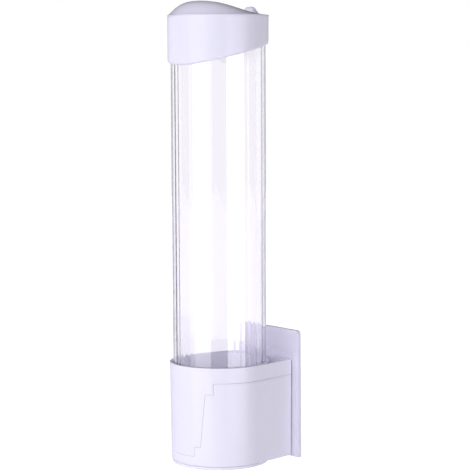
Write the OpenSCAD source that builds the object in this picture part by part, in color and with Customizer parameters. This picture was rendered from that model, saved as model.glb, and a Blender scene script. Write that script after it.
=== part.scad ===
// Wall-mounted pull dispenser for a stack of cups.
// Each piece is drawn round the tube's upright axis with the housing's foot at height zero,
// and on_wall() then moves it so that the origin is the centre of the plate's back face.
// The front faces -Y, the wall is at +Y and +Z is up.

/* [Tube] */
// Outer diameter of the clear tube
tube_d = 88; // [86:0.5:89]
// Wall of the clear tube
tube_wall = 2.2; // [1.8:0.1:2.6]
// Length of the clear tube
tube_l = 350; // [200:5:500]
// Radius of the round face of a guide rib inside the tube
rib_r = 6; // [4:0.5:8]
// How far a guide rib stands out from the tube's bore
rib_rise = 0.3; // [0.2:0.05:0.6]
// Ribs in each of the four groups
ribs_per_group = 5; // [3:1:6]
// Distance between two ribs along the tube's inside
rib_pitch = 6.2; // [5:0.1:7]

/* [Housing] */
// Height of the housing from foot to mouth
base_h = 92.7; // [88:0.1:110]
// Distance from the tube's outside to the housing's outside at the mouth
mouth_room = 3.2; // [3.1:0.1:5]
// How far the housing's foot is drawn in from its mouth
foot_in = 1; // [0.4:0.1:1.2]
// Angle by which each side runs in towards the wall
side_taper = 9; // [6:0.5:11]
// How far the housing's back stands behind its round front's circle
back_room = 8; // [7:0.1:12]
// Wall of the housing
shell_wall = 2.2; // [1.8:0.1:2.4]
// Thickness of the housing's floor
floor_t = 2.4; // [2:0.1:3]
// Radius of the housing's lower edge
foot_r = 2; // [1.6:0.1:2.6]
// Height of the tube's lower end above the foot
seat_z = 55; // [52:0.5:60]

/* [Front collar] */
// Height of the collar band at the mouth
band_h = 14; // [10:0.5:16]
// Thickness of the collar band and its tongue
band_t = 1.1; // [0.9:0.1:1.2]
// Height of the tongue's wide upper step
step_h = 10.4; // [8:0.1:12]
// Width of the tongue's upper step
step_w = 66; // [60:0.5:70]
// Width of the tongue just below the step
tongue_top_w = 54; // [48:0.5:56]
// Width of the tongue at its lower end
tongue_end_w = 45; // [36:0.5:47]
// Height of the tongue's lower end above the foot
tongue_end_z = 18.5; // [14:0.5:24]
// Width of the tongue's narrow toe
toe_w = 33; // [24:0.5:36]
// Height of the toe's lower end above the foot
toe_end_z = 9.6; // [6:0.1:13]

/* [Lid] */
// Thickness of the skirt
skirt_t = 2.65; // [2.5:0.05:3]
// Height of the skirt at the front
skirt_front_h = 45; // [40:0.5:50]
// Height of the skirt at the back
skirt_back_h = 24; // [22:0.5:28]
// How far the skirt's lower edge bows up from straight
skirt_bow = 1.8; // [1:0.1:3]
// Distance from the tube's top to the lid's seam
seam_rise = 10; // [9.5:0.5:12]
// How far the lid's rim stands out from the skirt
rim_out = 0.5; // [0.3:0.1:1]
// Thickness of the lid's rim
rim_t = 0.8; // [0.8:0.1:1.6]
// Height scale of the hill on the lid
hill_h = 15.5; // [10:0.1:18]
// Wall of the lid's hill
hill_wall = 1.8; // [1.4:0.1:2.2]
// Height of the finger tab above the rim
tab_h = 7.6; // [5:0.1:9]
// Width of the finger tab at half its height
tab_w = 15; // [12:0.5:20]
// Depth of the finger tab at half its height
tab_depth = 8; // [6:0.5:9]

/* [Lid hinge] */
// Radius of the hinge knuckles
knuckle_r = 2.8; // [2.4:0.1:2.8]
// Radius of the hinge pin
lid_pin_r = 1; // [0.8:0.05:1.2]
// Width of the lid's own knuckle
knuckle_w = 20; // [18:0.5:24]
// Width of each fixed knuckle
fixed_knuckle_w = 4; // [3.5:0.1:6]

/* [Outlet] */
// How far the outlet's opening is drawn in from the tube's bore
outlet_in = 3.2; // [3:0.1:4]
// How far the outlet ring stands below the foot
outlet_drop = 2.6; // [2:0.1:4]
// How far the outlet ring's flange stands in from the housing's foot
flange_in = 1; // [0.8:0.1:2]
// Height of the outlet ring's spigot above the foot
spigot_h = 4.6; // [4.2:0.1:5]

/* [Claws] */
// Number of claws
claw_count = 4; // [4:1:4]
// How far a claw's pin stands back from the carrier's bore
claw_back = 2.2; // [2.1:0.05:2.3]
// How far the claw pins are below the tube's lower end
claw_drop = 17; // [15:0.5:18]
// Width of a claw
claw_w = 10; // [9:0.5:11]
// Radius of a claw's hub
hub_r = 2; // [1.9:0.05:2.1]
// Radius of a claw pin
claw_pin_r = 0.8; // [0.7:0.05:0.9]
// How far a claw reaches in from its pin
claw_reach = 6.4; // [6:0.1:7]
// How far a claw's tip hangs below its pin
claw_fall = 8.4; // [8:0.1:9]
// Thickness of a claw's finger
claw_t = 2; // [1.6:0.1:2.2]
// Wire of the claw springs
spring_wire = 0.5; // [0.4:0.05:0.6]

/* [Wall plate] */
// Height of the wall plate
plate_h = 121.5; // [120:0.5:130]
// How far the plate reaches below the housing's foot
plate_below = 1; // [0:0.5:3]
// How far the plate's foot stands out beside the housing
plate_foot_over = 0.4; // [0:0.1:3]
// How far each side of the plate leans in from foot to top
plate_lean = 0.9; // [0:0.1:2]
// Thickness of the wall plate
plate_t = 3.4; // [3:0.1:5]
// Radius of the plate's upper corners
plate_corner_r = 4; // [2:0.5:6]
// Gap between the housing's back and the plate's face
plate_gap = 2; // [1.8:0.1:3]
// Thickness of the raised pad on the plate
pad_t = 0.8; // [0.6:0.1:1]
// Distance from the plate's side to the raised pad
pad_side = 3.7; // [3:0.1:8]
// How far the raised pad stands above the mouth
pad_over = 6.4; // [4:0.1:10]
// Distance between the two screw holes
screw_pitch = 60; // [50:1:66]
// Radius of the wall screw holes
screw_hole_r = 2.25; // [2:0.05:2.5]
// Thickness of the mounting tape
tape_t = 1; // [0.8:0.1:1.2]

/* [Hooks] */
// Distance from a hook to the cover's screw beside it
hook_in = 9; // [9:0.1:12]
// Height of the lower hooks above the foot
hook_low_z = 28; // [26:0.5:32]
// Distance of the upper hooks below the mouth
hook_top = 22.7; // [20:0.1:26]
// Width of a hook's neck
neck_w = 3.4; // [3:0.1:4]
// Height of a hook's neck
neck_h = 7; // [6:0.1:8]
// Width and height of a hook's head
hook_head = 9; // [8:0.1:9.5]
// Thickness of a hook's head
hook_head_t = 2; // [1.6:0.1:2.4]
// How far the housing lifts to come off its hooks
lift = 14; // [14:0.5:15]
// Thickness of the housing's rear cover
cover_t = 2.4; // [2:0.1:2.6]

/* [Hidden] */
$fn = 96;
hull_fn = 64;
small_fn = 32;
rib_fn = 48;

// Clearances and overruns
cut = 1;
skin = 0.02;
slip_gap = 0.15;
running_gap = 0.05;
seam_gap = 0.12;
side_gap = 0.3;
part_gap = 0.3;

// Tube
tube_r = tube_d / 2;
tube_bore_r = tube_r - tube_wall;
rib_step = rib_pitch / tube_bore_r * 180 / PI;

// Housing
mouth_r = tube_r + mouth_room;
base_foot_r = mouth_r - foot_in;
back_y = mouth_r + back_room;
cover_y = back_y - cover_t;
socket_gap = 0.7;
socket_wall = 1.5;
socket_r = tube_r + socket_gap;

// Levels above the housing's foot and places behind it
tube_top_z = seat_z + tube_l;
seam_z = tube_top_z + seam_rise;
plate_face_y = back_y + plate_gap;
wall_y = plate_face_y + plate_t;
plate_mid_z = plate_h / 2 - plate_below;

// Outlet
outlet_r = tube_bore_r - outlet_in;
flange_r = base_foot_r - flange_in;
spigot_wall = 2.4;
spigot_r = outlet_r + spigot_wall;
floor_hole_r = spigot_r + part_gap;
lug_w = 6;
lug_turn = 45;

// Claws and their carrier
carrier_bore_r = outlet_r + part_gap * 2;
carrier_r = base_foot_r - shell_wall - part_gap * 2;
carrier_foot_z = spigot_h + part_gap;
lead_h = 5;
claw_pivot = carrier_bore_r + claw_back;
claw_z = seat_z - claw_drop;
window_gap = 0.4;
window_fall = 20;
window_w = claw_w + window_gap * 2;
window_low_z = claw_z - window_fall;
window_top_z = claw_z + hub_r + window_gap * 3;
claw_pin_hold = 3;
claw_pin_l = claw_w + claw_pin_hold * 2;
spring_w = 3.2;
spring_room = 0.3;
spring_bore_r = claw_pin_r + running_gap * 4;
spring_leg_share = 0.7;
back_x = hub_r * 0.45;
back_z = hub_r * 0.85;
back_end_x = -claw_reach + claw_t * 0.9;
leg_x = hub_r - running_gap * 2;

// Screws
screw_r = 1.2;
pilot_r = 1.25;
pass_r = 1.5;
head_r = 2.4;
head_t = 1.6;
screw_l = 11;
cover_screw_l = 8;
sink_t = 1.3;

// Rear corners: posts that carry the claw carrier and blocks for the cover's screws
corner_x = side_x(base_foot_r, back_y);
post_in = 4.2;
post_back = 12;
post_x = corner_x - post_in;
post_y = back_y - post_back;
post_r = 3.4;
ear_over = 2;
ear_t = 3;
ear_r = 3.4;
post_top_z = window_top_z + ear_over;
cover_screw_in = 5.2;
cover_screw_edge = 9.7;
cover_screw_x = corner_x - cover_screw_in;
cover_screw_low_z = cover_screw_edge;
cover_screw_high_z = base_h - cover_screw_edge;
block_w = 8;
block_depth = 8;
cover_half_gap = 0.35;

// Lid's collar
collar_bore_r = tube_r + slip_gap;
skirt_r = collar_bore_r + skirt_t;
skirt_wall = skirt_t - part_gap;
skirt_steps = 16;
ledge_t = 2.2;
hinge_y = skirt_r - part_gap;
hinge_z = seam_z - knuckle_r - part_gap * 2;
knuckle_root = 3.8;

// Lid
rim_r = skirt_r + rim_out;
rim_edge = 0.4;
rim_round = 0.3;
hill_r = rim_r - rim_edge;
lip_t = 1.4;
lip_h = 3;
lip_r = skirt_r - skirt_wall - side_gap;
lip_back_share = 1 / 3;
cap_bore_r = lip_r - lip_t * 3 / 2;
hill_power = 4.6;
hill_edge_power = 1.38;
hill_low_share = 0.105;
hill_shift_share = -0.092;
hill_slope_share = 0.22;
tab_place_share = 0.82;
tab_flank_power = 5;
tab_face_power = 2.5;
tab_fade = 12;
tab_spread_share = 0.55;
rings = 16;
spokes = 60;

// Wall plate
plate_foot_w = (mouth_r + plate_foot_over) * 2;
plate_top_w = plate_foot_w - plate_lean * 2;
pad_w = plate_top_w - pad_side * 2;
neck_y = cover_y - side_gap;
hook_x = cover_screw_x - hook_in;
hook_high_z = base_h - hook_top;
screw_mid_z = (hook_low_z + hook_high_z) / 2;
screw_sink_r = 4.2;
tape_w = 60;
tape_h = 14;
tape_edge = 2;
tape_low_z = tape_edge + tape_h / 2 - plate_below;
tape_high_z = plate_h - plate_below - tape_edge - tape_h / 2;

module on_wall() {
    translate([0, -wall_y, -plate_mid_z]) children();
}

// Repeats its children on both sides of the middle plane
module both_sides() {
    children();
    mirror([1, 0, 0]) children();
}

// A straight bar along Y from its child's place
module along_y(r, l) {
    rotate([-90, 0, 0]) cylinder(r = r, h = l);
}

module along_x(r, w) {
    rotate([0, 90, 0]) cylinder(r = r, h = w, center = true);
}

// Outline of the housing in plan: a round front whose tangents run back to the wall
function side_x(r, y) = (r - y * sin(side_taper)) / cos(side_taper);
function plan(r, back) = concat(
    [for (i = [0 : hull_fn]) let (a = -90 - side_taper + i * (180 + 2 * side_taper) / hull_fn)
        [r * sin(a), -r * cos(a)]],
    [[side_x(r, back), back], [-side_x(r, back), back]]);

module plan_slice(r, z) {
    translate([0, 0, z]) linear_extrude(skin) polygon(plan(r, back_y + foot_r * 2));
}

function base_r(z) = base_foot_r + (mouth_r - base_foot_r) * z / base_h;

// Solid housing form, drawn in by inset on the sides, with a round lower edge
module base_form(inset, low_z) {
    edge_r = max(foot_r - inset, skin);
    hull() {
        for (a = [0 : 22.5 : 90])
            plan_slice(base_r(low_z) - inset - edge_r * (1 - sin(a)), low_z + edge_r * (1 - cos(a)));
        plan_slice(base_r(base_h) - inset, base_h - skin);
    }
}

module behind(y) {
    translate([-plate_foot_w, y, -plate_h]) cube([plate_foot_w * 2, plate_foot_w, plate_h * 3]);
}

// Room that the collar band and its stepped tongue take, grown by gap
module collar_room(gap) {
    top = base_h + cut;
    band_z = base_h - band_h - gap;
    step_z = base_h - band_h - step_h - gap;
    translate([-plate_foot_w, -plate_foot_w, band_z])
        cube([plate_foot_w * 2, plate_foot_w * 2, top - band_z]);
    rotate([90, 0, 0]) linear_extrude(plate_foot_w) polygon([
        [-step_w / 2 - gap, top], [step_w / 2 + gap, top],
        [step_w / 2 + gap, step_z], [tongue_top_w / 2 + gap, step_z],
        [tongue_end_w / 2 + gap, tongue_end_z - gap], [toe_w / 2 + gap, tongue_end_z - gap],
        [toe_w / 2 + gap, toe_end_z - gap], [-toe_w / 2 - gap, toe_end_z - gap],
        [-toe_w / 2 - gap, tongue_end_z - gap], [-tongue_end_w / 2 - gap, tongue_end_z - gap],
        [-tongue_top_w / 2 - gap, step_z], [-step_w / 2 - gap, step_z]]);
}

module housing_shell() on_wall() color("#f0eef8") {
    difference() {
        union() {
            difference() {
                base_form(0, 0);
                base_form(shell_wall, floor_t);
            }
            intersection() {
                base_form(shell_wall / 2, 0);
                union() {
                    socket_ring();
                    both_sides() {
                        translate([post_x, post_y, 0]) cylinder(r = post_r, h = post_top_z);
                        cover_block(cover_screw_low_z);
                        cover_block(cover_screw_high_z);
                    }
                }
            }
        }
        difference() {
            collar_room(seam_gap);
            base_form(band_t + seam_gap, 0);
        }
        translate([0, 0, -cut]) cylinder(r = floor_hole_r, h = floor_t + cut * 2);
        translate([0, 0, floor_t]) cylinder(r = carrier_r + part_gap, h = seat_z - floor_t);
        translate([0, 0, seat_z - cut]) cylinder(r = socket_r, h = base_h);
        both_sides() {
            translate([post_x, post_y, post_top_z - screw_l]) cylinder(r = pilot_r, h = screw_l + cut);
            for (z = [cover_screw_low_z, cover_screw_high_z])
                translate([cover_screw_x, cover_y - cover_screw_l, z]) along_y(pilot_r, cover_screw_l + cut);
        }
        behind(back_y);
    }
}

// The wall that guides the tube, seen behind the tube at the mouth
module socket_ring() {
    translate([0, 0, seat_z]) difference() {
        cylinder(r = socket_r + socket_wall, h = base_h - seat_z);
        translate([0, 0, -cut]) cylinder(r = socket_r, h = base_h);
    }
}

module cover_block(z) {
    translate([cover_screw_x - block_w / 2, cover_y - block_depth, z - block_w / 2])
        cube([block_w * 2, block_depth, block_w]);
}

module front_collar() on_wall() color("#f0eef8") {
    difference() {
        intersection() {
            base_form(0, 0);
            collar_room(0);
        }
        base_form(band_t, -cut);
        behind(back_y);
    }
}

module outlet_ring() on_wall() color("#e9e6f4") {
    difference() {
        union() {
            translate([0, 0, -outlet_drop]) rotate_extrude() polygon([
                [0, 0], [flange_r - side_gap * 2, 0], [flange_r, side_gap * 2],
                [flange_r, outlet_drop], [0, outlet_drop]]);
            cylinder(r = spigot_r, h = spigot_h);
            snap_lugs();
        }
        translate([0, 0, -outlet_drop - cut]) cylinder(r = outlet_r, h = outlet_drop + spigot_h + cut * 2);
    }
}

// Lugs that hook over the floor's upper side
module snap_lugs() {
    lug_z = floor_t + slip_gap;
    intersection() {
        translate([0, 0, lug_z]) cylinder(r = floor_hole_r + part_gap * 2, h = spigot_h - lug_z);
        for (a = [0 : lug_turn : 180 - lug_turn])
            rotate([0, 0, a]) translate([-mouth_r, -lug_w / 2, 0]) cube([mouth_r * 2, lug_w, spigot_h]);
    }
}

module rear_cover() on_wall() color("#e9e6f4") {
    low_x = side_x(base_r(floor_t), back_y) - shell_wall / cos(side_taper) - cover_half_gap;
    top_x = side_x(base_r(base_h), back_y) - shell_wall / cos(side_taper) - cover_half_gap;
    difference() {
        translate([0, back_y, 0]) rotate([90, 0, 0]) linear_extrude(cover_t) polygon([
            [-low_x, floor_t + side_gap], [low_x, floor_t + side_gap], [top_x, base_h], [-top_x, base_h]]);
        both_sides() {
            for (z = [hook_low_z, hook_high_z]) hook_slot(z);
            for (z = [cover_screw_low_z, cover_screw_high_z])
                translate([cover_screw_x, back_y, z]) screw_sink(running_gap * 2);
        }
    }
}

// Narrow slot above a wide opening, so that the cover drops over a hook and then down on it
module hook_slot(z) {
    slot_w = neck_w + side_gap * 2;
    open_w = hook_head + side_gap * 4;
    translate([hook_x - slot_w / 2, cover_y - cut, z - lift])
        cube([slot_w, cover_t + cut * 2, lift + neck_h / 2]);
    translate([hook_x - open_w / 2, cover_y - cut, z - lift - open_w / 2])
        cube([open_w, cover_t + cut * 2, open_w]);
}

// Countersunk hole with its mouth on the cover's outer face
module screw_sink(gap) {
    translate([0, -cover_t - cut, 0]) along_y(pass_r, cover_t + cut * 2);
    translate([0, -sink_t, 0]) rotate([-90, 0, 0])
        cylinder(r1 = pass_r, r2 = head_r + gap, h = sink_t + skin);
}

module rear_cover_screws() on_wall() color("silver") both_sides() {
    for (z = [cover_screw_low_z, cover_screw_high_z]) translate([cover_screw_x, back_y, z]) {
        translate([0, -cover_screw_l, 0]) along_y(screw_r, cover_screw_l - sink_t);
        translate([0, -sink_t, 0]) rotate([-90, 0, 0])
            cylinder(r1 = screw_r, r2 = head_r, h = sink_t - skin);
    }
}

// A claw's frame: +X points out from the tube's axis and the origin is on the claw's pin
module claw_place(i) {
    rotate([0, 0, 360 / claw_count * (i - 1 / 2)]) translate([claw_pivot, 0, claw_z]) children();
}

module claw_carrier() on_wall() color("#dcd9ea") {
    difference() {
        union() {
            translate([0, 0, carrier_foot_z]) cylinder(r = carrier_r, h = seat_z - carrier_foot_z);
            both_sides() carrier_ear();
        }
        translate([0, 0, -cut]) cylinder(r = carrier_bore_r, h = seat_z + cut * 2);
        translate([0, 0, seat_z - lead_h])
            cylinder(r1 = carrier_bore_r, r2 = tube_bore_r, h = lead_h + skin);
        for (i = [1 : claw_count]) claw_place(i) {
            translate([-claw_pivot / 4, -window_w / 2, window_low_z - claw_z])
                cube([claw_pivot / 2, window_w, window_top_z - window_low_z]);
            translate([0, -claw_pin_l / 2, 0]) along_y(claw_pin_r + running_gap, claw_pivot);
        }
    }
}

// Ear that sits on a post in the housing's rear corner
module carrier_ear() {
    translate([0, 0, post_top_z]) difference() {
        hull() {
            translate([post_x, post_y, 0]) cylinder(r = ear_r, h = ear_t, $fn = small_fn);
            rotate([0, 0, atan2(post_y, post_x)]) translate([carrier_r - ear_r, 0, 0])
                cylinder(r = ear_r, h = ear_t, $fn = small_fn);
        }
        translate([post_x, post_y, -cut]) cylinder(r = pass_r, h = ear_t + cut * 2);
    }
}

module carrier_screws() on_wall() color("silver") both_sides() {
    top_z = post_top_z + ear_t;
    translate([post_x, post_y, top_z - screw_l]) cylinder(r = screw_r, h = screw_l);
    translate([post_x, post_y, top_z]) cylinder(r = head_r, h = head_t);
}

module claw(i) on_wall() color("#c9c6dc") claw_place(i) {
    difference() {
        union() {
            translate([0, -claw_w / 2, 0]) along_y(hub_r, claw_w);
            rotate([90, 0, 0]) linear_extrude(claw_w, center = true) claw_side();
        }
        translate([0, -claw_w / 2 - cut, 0]) along_y(claw_pin_r + running_gap, claw_w + cut * 2);
        translate([0, -spring_w / 2 - spring_room, 0])
            along_y(hub_r + part_gap, spring_w + spring_room * 2);
    }
}

// Side view of the finger that hangs in from the hub
module claw_side() {
    polygon([
        [-hub_r * 0.9, -hub_r * 0.4],
        [-claw_reach, -claw_fall + claw_t * 0.9],
        [-claw_reach + claw_t * 0.1, -claw_fall + claw_t * 0.2],
        [back_end_x, -claw_fall],
        [back_x, -back_z],
        [0, 0]]);
}

module claw_pin(i) on_wall() color("silver") claw_place(i) {
    translate([0, -claw_pin_l / 2, 0]) along_y(claw_pin_r, claw_pin_l);
}

// A sleeve in the coil's place round the pin, one leg up to the carrier and one down the finger's back
module claw_spring(i) on_wall() color("silver") claw_place(i) {
    translate([0, -spring_w / 2, 0]) difference() {
        along_y(spring_bore_r + spring_wire, spring_w);
        translate([0, -cut, 0]) along_y(spring_bore_r, spring_w + cut * 2);
    }
    translate([spring_bore_r, -spring_w / 2, 0])
        cube([spring_wire, spring_wire, hub_r + window_gap * 2]);
    rotate([0, atan2(back_x - back_end_x, claw_fall - back_z), 0]) mirror([0, 0, 1])
        translate([0, spring_w / 2 - spring_wire, 0]) {
            translate([spring_bore_r, 0, 0])
                cube([leg_x + spring_wire - spring_bore_r, spring_wire, spring_wire]);
            translate([leg_x, 0, 0]) cube([spring_wire, spring_wire, claw_fall * spring_leg_share]);
        }
}

module claw_1() claw(1);
module claw_2() claw(2);
module claw_3() claw(3);
module claw_4() claw(4);
module claw_pin_1() claw_pin(1);
module claw_pin_2() claw_pin(2);
module claw_pin_3() claw_pin(3);
module claw_pin_4() claw_pin(4);
module claw_spring_1() claw_spring(1);
module claw_spring_2() claw_spring(2);
module claw_spring_3() claw_spring(3);
module claw_spring_4() claw_spring(4);

module cup_tube() on_wall() color("#dfe6ff", 0.35) {
    translate([0, 0, seat_z]) linear_extrude(tube_l) difference() {
        circle(r = tube_r);
        difference() {
            circle(r = tube_bore_r);
            for (g = [0 : 90 : 270]) for (k = [0 : ribs_per_group - 1])
                rotate([0, 0, g + (k - (ribs_per_group - 1) / 2) * rib_step])
                    translate([tube_bore_r + rib_r - rib_rise, 0]) circle(r = rib_r, $fn = rib_fn);
        }
    }
}

module lid_collar() on_wall() color("#f0eef8") {
    low_z = seam_z - skirt_front_h;
    difference() {
        union() {
            rotate_extrude() polygon([
                [collar_bore_r, low_z], [skirt_r, low_z], [skirt_r, seam_z],
                [skirt_r - skirt_wall, seam_z], [skirt_r - skirt_wall, tube_top_z + ledge_t],
                [tube_bore_r, tube_top_z + ledge_t], [tube_bore_r, tube_top_z],
                [collar_bore_r, tube_top_z]]);
            both_sides() fixed_knuckle();
        }
        skirt_cut();
        translate([0, hinge_y, hinge_z]) {
            along_x(lid_pin_r + running_gap, skirt_r * 2);
            translate([-knuckle_w / 2 - side_gap, -skirt_wall * 2, -knuckle_r - part_gap])
                cube([knuckle_w + side_gap * 2, skirt_wall * 4, seam_rise]);
        }
    }
}

// Slanted and slightly bowed lower edge of the skirt, from the front to the back
function skirt_z(share) = let (low = seam_z - skirt_front_h, high = seam_z - skirt_back_h)
    low + (high - low) * (share + 1) / 2 + skirt_bow * (1 - share * share);

module skirt_cut() {
    reach = skirt_r + cut;
    low = seam_z - skirt_front_h - cut * 2;
    rotate([90, 0, 90]) linear_extrude(skirt_r * 2 * 2, center = true) polygon(concat(
        [[reach, low], [-reach, low]],
        [for (i = [0 : skirt_steps]) let (share = -1 + 2 * i / skirt_steps)
            [reach * share, skirt_z(share)]]));
}

module fixed_knuckle() {
    translate([knuckle_w / 2 + side_gap, hinge_y, hinge_z]) {
        rotate([0, 90, 0]) cylinder(r = knuckle_r, h = fixed_knuckle_w);
        translate([0, -knuckle_root, -knuckle_r])
            cube([fixed_knuckle_w, knuckle_root, knuckle_r * 2]);
    }
}

module lid_pin() on_wall() color("silver") translate([0, hinge_y, hinge_z])
    along_x(lid_pin_r, knuckle_w + fixed_knuckle_w * 2 + side_gap * 2);

// Height of the lid above its rim: a steep front that falls in an S to the back, and the tab
function hill(x, y) =
    let (share = min(norm([x, y]) / hill_r, 1),
        edge = pow(1 - pow(share, hill_power), hill_edge_power),
        fall = hill_low_share + (1 - hill_low_share)
            / (1 + exp((y / hill_r - hill_shift_share) / hill_slope_share)))
    hill_h * edge * fall + tab(x, y) * min((1 - share) * tab_fade, 1);

function tab(x, y) = tab_h * exp(-pow(abs(x) / (tab_w * tab_spread_share), tab_flank_power))
    * exp(-pow(abs(y - hill_r * tab_place_share) / (tab_depth * tab_spread_share), tab_face_power));

// A point of the cap at radius r on spoke j, and the cap's upper and lower side there, from the seam
function on_spoke(r, j, z) = let (a = 360 * j / spokes) [r * sin(a), -r * cos(a), z];
function cap_top(r, j) = let (p = on_spoke(r, j, 0)) rim_t + hill(p[0], p[1]);
function cap_low(r, j) = max(cap_top(r, j) - hill_wall, 0);

// Rings of points run from the crown out over the rim and back in along the underside
module cap() {
    rows = concat(
        [for (i = [1 : rings]) let (r = hill_r * i / rings)
            [for (j = [0 : spokes - 1]) on_spoke(r, j, cap_top(r, j))]],
        [for (z = [rim_t - rim_round, 0]) [for (j = [0 : spokes - 1]) on_spoke(rim_r, j, z)]],
        [[for (j = [0 : spokes - 1]) on_spoke(cap_bore_r, j, 0)]],
        [for (i = [rings - 1 : -1 : 1]) let (r = cap_bore_r * i / rings)
            [for (j = [0 : spokes - 1]) on_spoke(r, j, cap_low(r, j))]]);
    last = len(rows) - 1;
    crown = len(rows) * spokes;
    function id(k, j) = k * spokes + j % spokes;
    polyhedron(
        points = concat([for (row = rows) each row],
            [on_spoke(0, 0, cap_top(0, 0)), on_spoke(0, 0, cap_low(0, 0))]),
        faces = concat(
            [for (k = [0 : last - 1], j = [0 : spokes - 1]) each [
                [id(k, j), id(k + 1, j + 1), id(k + 1, j)],
                [id(k, j), id(k, j + 1), id(k + 1, j + 1)]]],
            [for (j = [0 : spokes - 1]) each [
                [crown, id(0, j + 1), id(0, j)],
                [crown + 1, id(last, j), id(last, j + 1)]]]));
}

// Lip that centres the lid's front in the skirt
module lid_lip() {
    lip_end_y = skirt_r * lip_back_share;
    difference() {
        translate([0, 0, seam_z - lip_h]) cylinder(r = lip_r, h = lip_h + rim_t / 2);
        translate([0, 0, seam_z - lip_h - cut]) cylinder(r = lip_r - lip_t, h = lip_h + rim_t + cut * 2);
        translate([-skirt_r, lip_end_y, seam_z - lip_h * 2]) cube([skirt_r * 2, skirt_r, lip_h * 3]);
    }
}

module lid_knuckle() {
    translate([0, hinge_y, hinge_z]) difference() {
        union() {
            along_x(knuckle_r, knuckle_w);
            translate([-knuckle_w / 2, -knuckle_r / 2, 0])
                cube([knuckle_w, knuckle_r, seam_z - hinge_z + rim_t / 2]);
        }
        along_x(lid_pin_r + running_gap, knuckle_w + cut * 2);
    }
}

module lid() on_wall() color("#f0eef8") {
    translate([0, 0, seam_z]) cap();
    lid_lip();
    lid_knuckle();
}

module wall_plate() on_wall() color("#e9e6f4") {
    difference() {
        union() {
            translate([0, wall_y, 0]) rotate([90, 0, 0]) linear_extrude(plate_t) plate_side();
            translate([-pad_w / 2, plate_face_y - pad_t, floor_t])
                cube([pad_w, pad_t + skin, base_h + pad_over - floor_t]);
            both_sides() for (z = [hook_low_z, hook_high_z]) hook(z);
        }
        for (z = [-screw_pitch / 2, screw_pitch / 2])
            translate([0, plate_face_y - pad_t, screw_mid_z + z]) {
                translate([0, -cut, 0]) along_y(screw_hole_r, plate_t + pad_t + cut * 2);
                rotate([-90, 0, 0]) translate([0, 0, -skin])
                    cylinder(r1 = screw_sink_r, r2 = screw_hole_r, h = screw_sink_r - screw_hole_r);
            }
        for (z = [tape_low_z, tape_high_z]) tape_room(z, side_gap, tape_t + cut);
    }
}

// Face view of the plate, a little wider at its foot, with round corners
module plate_side() {
    top = plate_h - plate_below;
    hull() both_sides() {
        translate([plate_top_w / 2 - plate_corner_r, top - plate_corner_r])
            circle(r = plate_corner_r, $fn = small_fn);
        translate([plate_foot_w / 2 - plate_corner_r / 2, -plate_below + plate_corner_r / 2])
            circle(r = plate_corner_r / 2, $fn = small_fn);
    }
}

module hook(z) {
    translate([hook_x - neck_w / 2, neck_y - skin, z - neck_h / 2])
        cube([neck_w, plate_face_y - neck_y + skin * 2, neck_h]);
    translate([hook_x - hook_head / 2, neck_y - hook_head_t, z - hook_head / 2])
        cube([hook_head, hook_head_t, hook_head]);
}

module tape_room(z, gap, t) {
    translate([-tape_w / 2 - gap, wall_y - tape_t, z - tape_h / 2 - gap])
        cube([tape_w + gap * 2, t, tape_h + gap * 2]);
}

module mounting_tape() on_wall() color("white") {
    for (z = [tape_low_z, tape_high_z]) tape_room(z, 0, tape_t);
}

wall_plate();
mounting_tape();
housing_shell();
front_collar();
outlet_ring();
rear_cover();
rear_cover_screws();
claw_carrier();
carrier_screws();
claw_1();
claw_2();
claw_3();
claw_4();
claw_pin_1();
claw_pin_2();
claw_pin_3();
claw_pin_4();
claw_spring_1();
claw_spring_2();
claw_spring_3();
claw_spring_4();
cup_tube();
lid_collar();
lid_pin();
lid();
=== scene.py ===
import math

import bmesh
import bpy
import numpy as np
from mathutils import Matrix, Vector


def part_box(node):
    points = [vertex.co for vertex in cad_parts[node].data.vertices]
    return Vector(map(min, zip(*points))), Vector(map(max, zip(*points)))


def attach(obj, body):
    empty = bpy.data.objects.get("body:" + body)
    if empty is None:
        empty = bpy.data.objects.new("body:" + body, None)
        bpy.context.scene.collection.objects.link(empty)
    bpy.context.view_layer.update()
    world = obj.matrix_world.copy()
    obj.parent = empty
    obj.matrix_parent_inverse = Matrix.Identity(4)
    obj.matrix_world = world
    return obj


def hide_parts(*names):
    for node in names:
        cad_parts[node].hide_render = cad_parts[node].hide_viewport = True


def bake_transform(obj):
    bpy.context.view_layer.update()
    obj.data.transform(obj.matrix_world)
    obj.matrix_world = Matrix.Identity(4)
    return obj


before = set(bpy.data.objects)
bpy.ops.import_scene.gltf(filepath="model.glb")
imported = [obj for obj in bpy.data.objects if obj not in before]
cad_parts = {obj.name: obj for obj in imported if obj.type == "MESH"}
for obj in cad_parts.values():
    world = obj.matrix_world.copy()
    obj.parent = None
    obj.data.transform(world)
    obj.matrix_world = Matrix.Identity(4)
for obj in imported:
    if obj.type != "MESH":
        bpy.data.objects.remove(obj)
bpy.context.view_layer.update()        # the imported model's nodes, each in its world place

mm = 0.001
easeShare = 0.3          # where the middle row of an eased edge lies
weld = 1e-6              # corners nearer than this, in metres, are one
nodeWeld = 2e-6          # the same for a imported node's mesh
sliver = 1e-7            # edges shorter than this, in metres, are dropped
flatAngle = 0.6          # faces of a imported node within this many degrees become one

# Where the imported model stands: the tube's upright axis and the housing's foot
tubeLow, tubeHigh = (np.array(corner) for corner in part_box("cup_tube"))
axisY = (tubeLow[1] + tubeHigh[1]) / 2
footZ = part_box("housing_shell")[0][2]
place = np.array([0.0, axisY, footZ])
tubeRadius = (tubeHigh[0] - tubeLow[0]) / 2 / mm
tubeFoot, tubeTop = (tubeLow[2] - footZ) / mm, (tubeHigh[2] - footZ) / mm
mouthZ = (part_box("front_collar")[1][2] - footZ) / mm
seamZ = (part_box("lid_collar")[1][2] - footZ) / mm
backY = (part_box("housing_shell")[1][1] - axisY) / mm
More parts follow.
